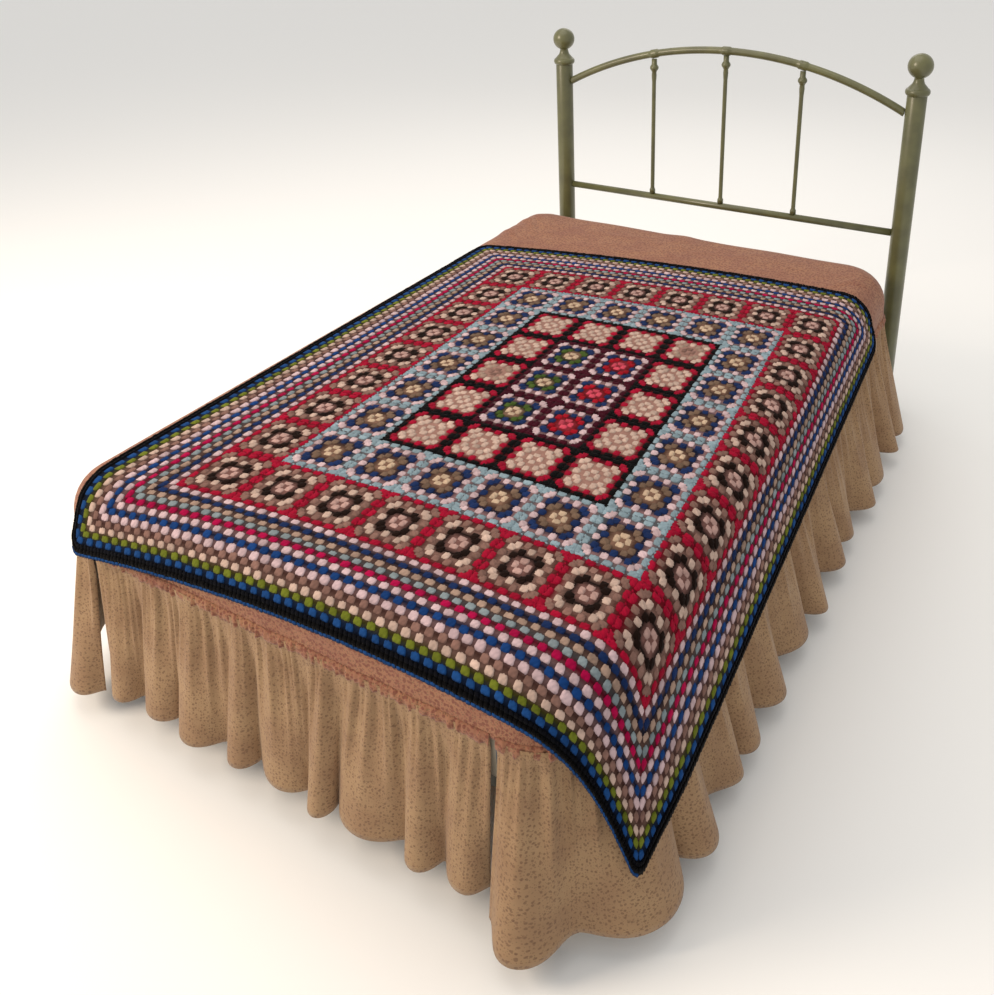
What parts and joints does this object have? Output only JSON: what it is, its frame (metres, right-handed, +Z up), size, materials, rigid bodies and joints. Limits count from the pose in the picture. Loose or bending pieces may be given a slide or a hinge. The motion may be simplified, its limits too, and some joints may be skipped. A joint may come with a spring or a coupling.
{
  "type": "granny square blanket on a single bed with a valance and a metal headboard",
  "caption": "Crocheted patchwork blanket draped over a covered mattress with a gathered valance, on a painted metal bedstead.",
  "frame": {"origin": "middle of the bed's footprint, on the floor", "axes": "+Z up, +Y towards the headboard along the bed, +X to the right seen from the foot"},
  "size_m": [1.4542, 2.1007, 1.1375],
  "materials": {
    "crochet_wool": "multicoloured crocheted wool",
    "edging_wool": "near-black crocheted wool",
    "printed_cotton": "pink cotton with a small floral print",
    "frill_cotton": "cream cotton with small sprigs",
    "ticking": "woven ticking",
    "timber": "plain unfinished timber",
    "green_enamel": "sage green enamel, slightly glossy"
  },
  "bodies": {
    "root": {"blanket": "crochet_wool", "blanket_edging": "edging_wool", "spread": "printed_cotton", "frill_right": "frill_cotton", "frill_foot": "frill_cotton", "frill_left": "frill_cotton", "mattress": "ticking", "bed_deck": "timber", "post_left": "green_enamel", "post_right": "green_enamel", "arch_rail": "green_enamel", "lower_rail": "green_enamel", "head_cross_rail": "green_enamel", "spindle_1": "green_enamel", "spindle_2": "green_enamel", "spindle_3": "green_enamel", "side_rail_left": "green_enamel", "side_rail_right": "green_enamel", "foot_rail": "green_enamel", "foot_leg_left": "green_enamel", "foot_leg_right": "green_enamel"}
  },
  "joints": []
}
